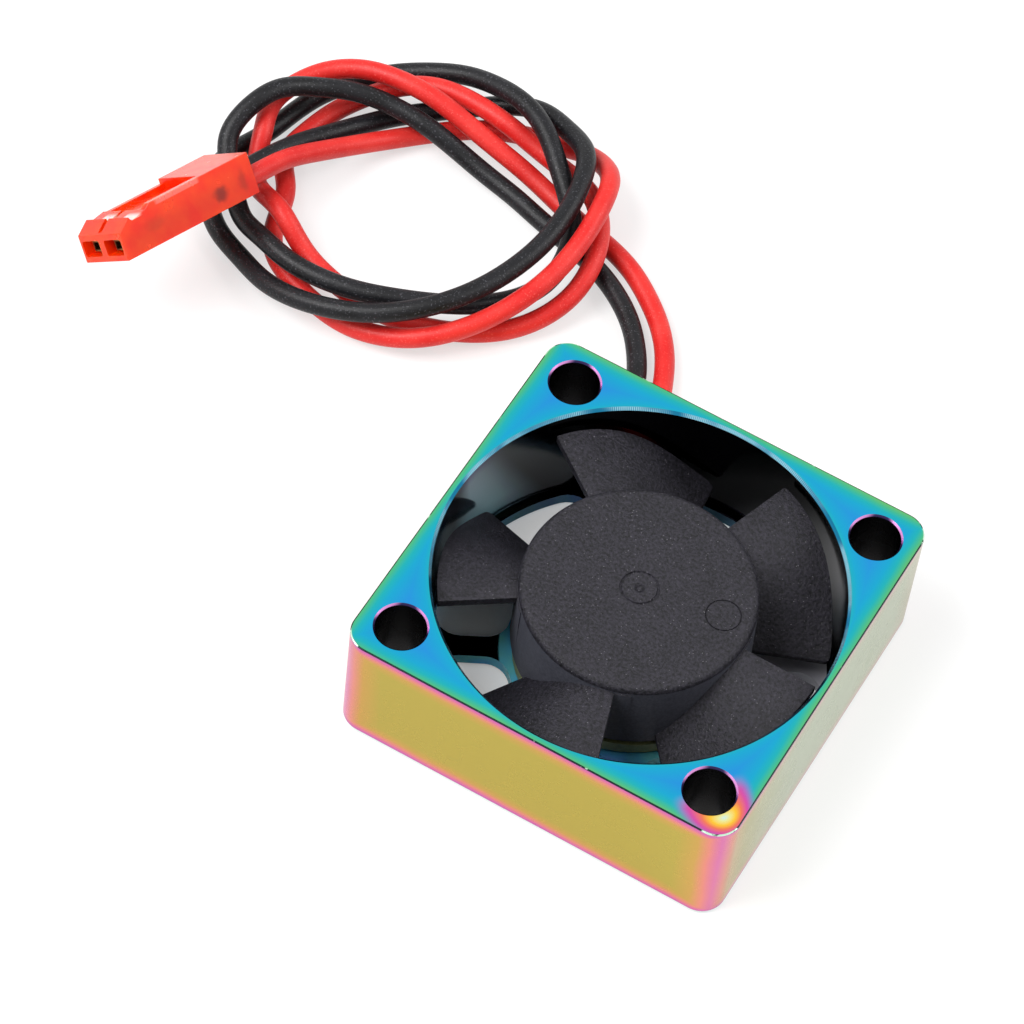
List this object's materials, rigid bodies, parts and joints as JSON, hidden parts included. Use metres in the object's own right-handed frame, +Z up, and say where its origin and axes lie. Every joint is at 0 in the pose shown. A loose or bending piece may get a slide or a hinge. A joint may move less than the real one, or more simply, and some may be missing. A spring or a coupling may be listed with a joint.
{
  "type": "axial cooling fan",
  "caption": "Small square axial cooling fan with a machined metal frame, bladed impeller on ball bearings, and coiled silicone leads ending in a two-pin connector.",
  "frame": {"origin": "centre of the frame's underside, on the shaft's axis", "axes": "+Z up the shaft towards the open face, +X and +Y along the frame's sides, with the leads leaving the +Y side"},
  "size_m": [0.0644, 0.0529, 0.0109],
  "materials": {
    "frame_coating": "rainbow vapour coating, mirror smooth",
    "brass": "turned",
    "cap_plastic": "moulded",
    "bearing_steel": "ground",
    "lamination_steel": "stamped",
    "insulator_nylon": "moulded",
    "coil_enamel": "enamelled copper wire",
    "board_laminate": "glass laminate",
    "chip_package": "moulded",
    "tin": "tinned",
    "red_silicone": "satin silicone",
    "black_silicone": "satin silicone",
    "connector_red": "translucent moulded",
    "impeller_plastic": "fine spark texture",
    "yoke_steel": "drawn",
    "magnet_ferrite": "bonded ferrite",
    "spring_steel": "hardened"
  },
  "bodies": {
    "stator": {"frame": "frame_coating", "bearing_tube": "brass", "base_cap": "cap_plastic", "upper_bearing_outer_ring": "bearing_steel", "lower_bearing_outer_ring": "bearing_steel", "bearing_spacer": "brass", "stator_core": "lamination_steel", "upper_insulator": "insulator_nylon", "lower_insulator": "insulator_nylon", "coil_1": "coil_enamel", "coil_2": "coil_enamel", "coil_3": "coil_enamel", "coil_4": "coil_enamel", "circuit_board": "board_laminate", "drive_chip": "chip_package", "hall_sensor": "chip_package", "capacitor": "chip_package", "red_solder_joint": "tin", "black_solder_joint": "tin", "red_lead": "red_silicone", "black_lead": "black_silicone", "connector_housing": "connector_red", "red_contact": "tin", "black_contact": "tin"},
    "rotor": {"impeller": "impeller_plastic", "rotor_yoke": "yoke_steel", "magnet_ring": "magnet_ferrite", "shaft": "bearing_steel", "shaft_bush": "brass", "upper_bearing_inner_ring": "bearing_steel", "lower_bearing_inner_ring": "bearing_steel", "preload_washer": "spring_steel", "retaining_clip": "spring_steel"},
    "ball_cages": {"upper_ball_cage": "bearing_steel", "lower_ball_cage": "bearing_steel"}
  },
  "joints": [
    {"name": "fan_spin", "type": "hinge", "parent": "stator", "child": "rotor", "pos_m": [0, 0, 0.005], "axis": [0, 0, 1], "continuous": true},
    {"name": "cage_spin", "type": "hinge", "parent": "stator", "child": "ball_cages", "pos_m": [0, 0, 0.004], "axis": [0, 0, 1], "continuous": true}
  ],
  "couplings": [
    {"joint": "cage_spin", "follows": "fan_spin", "ratio": 0.4167}
  ]
}
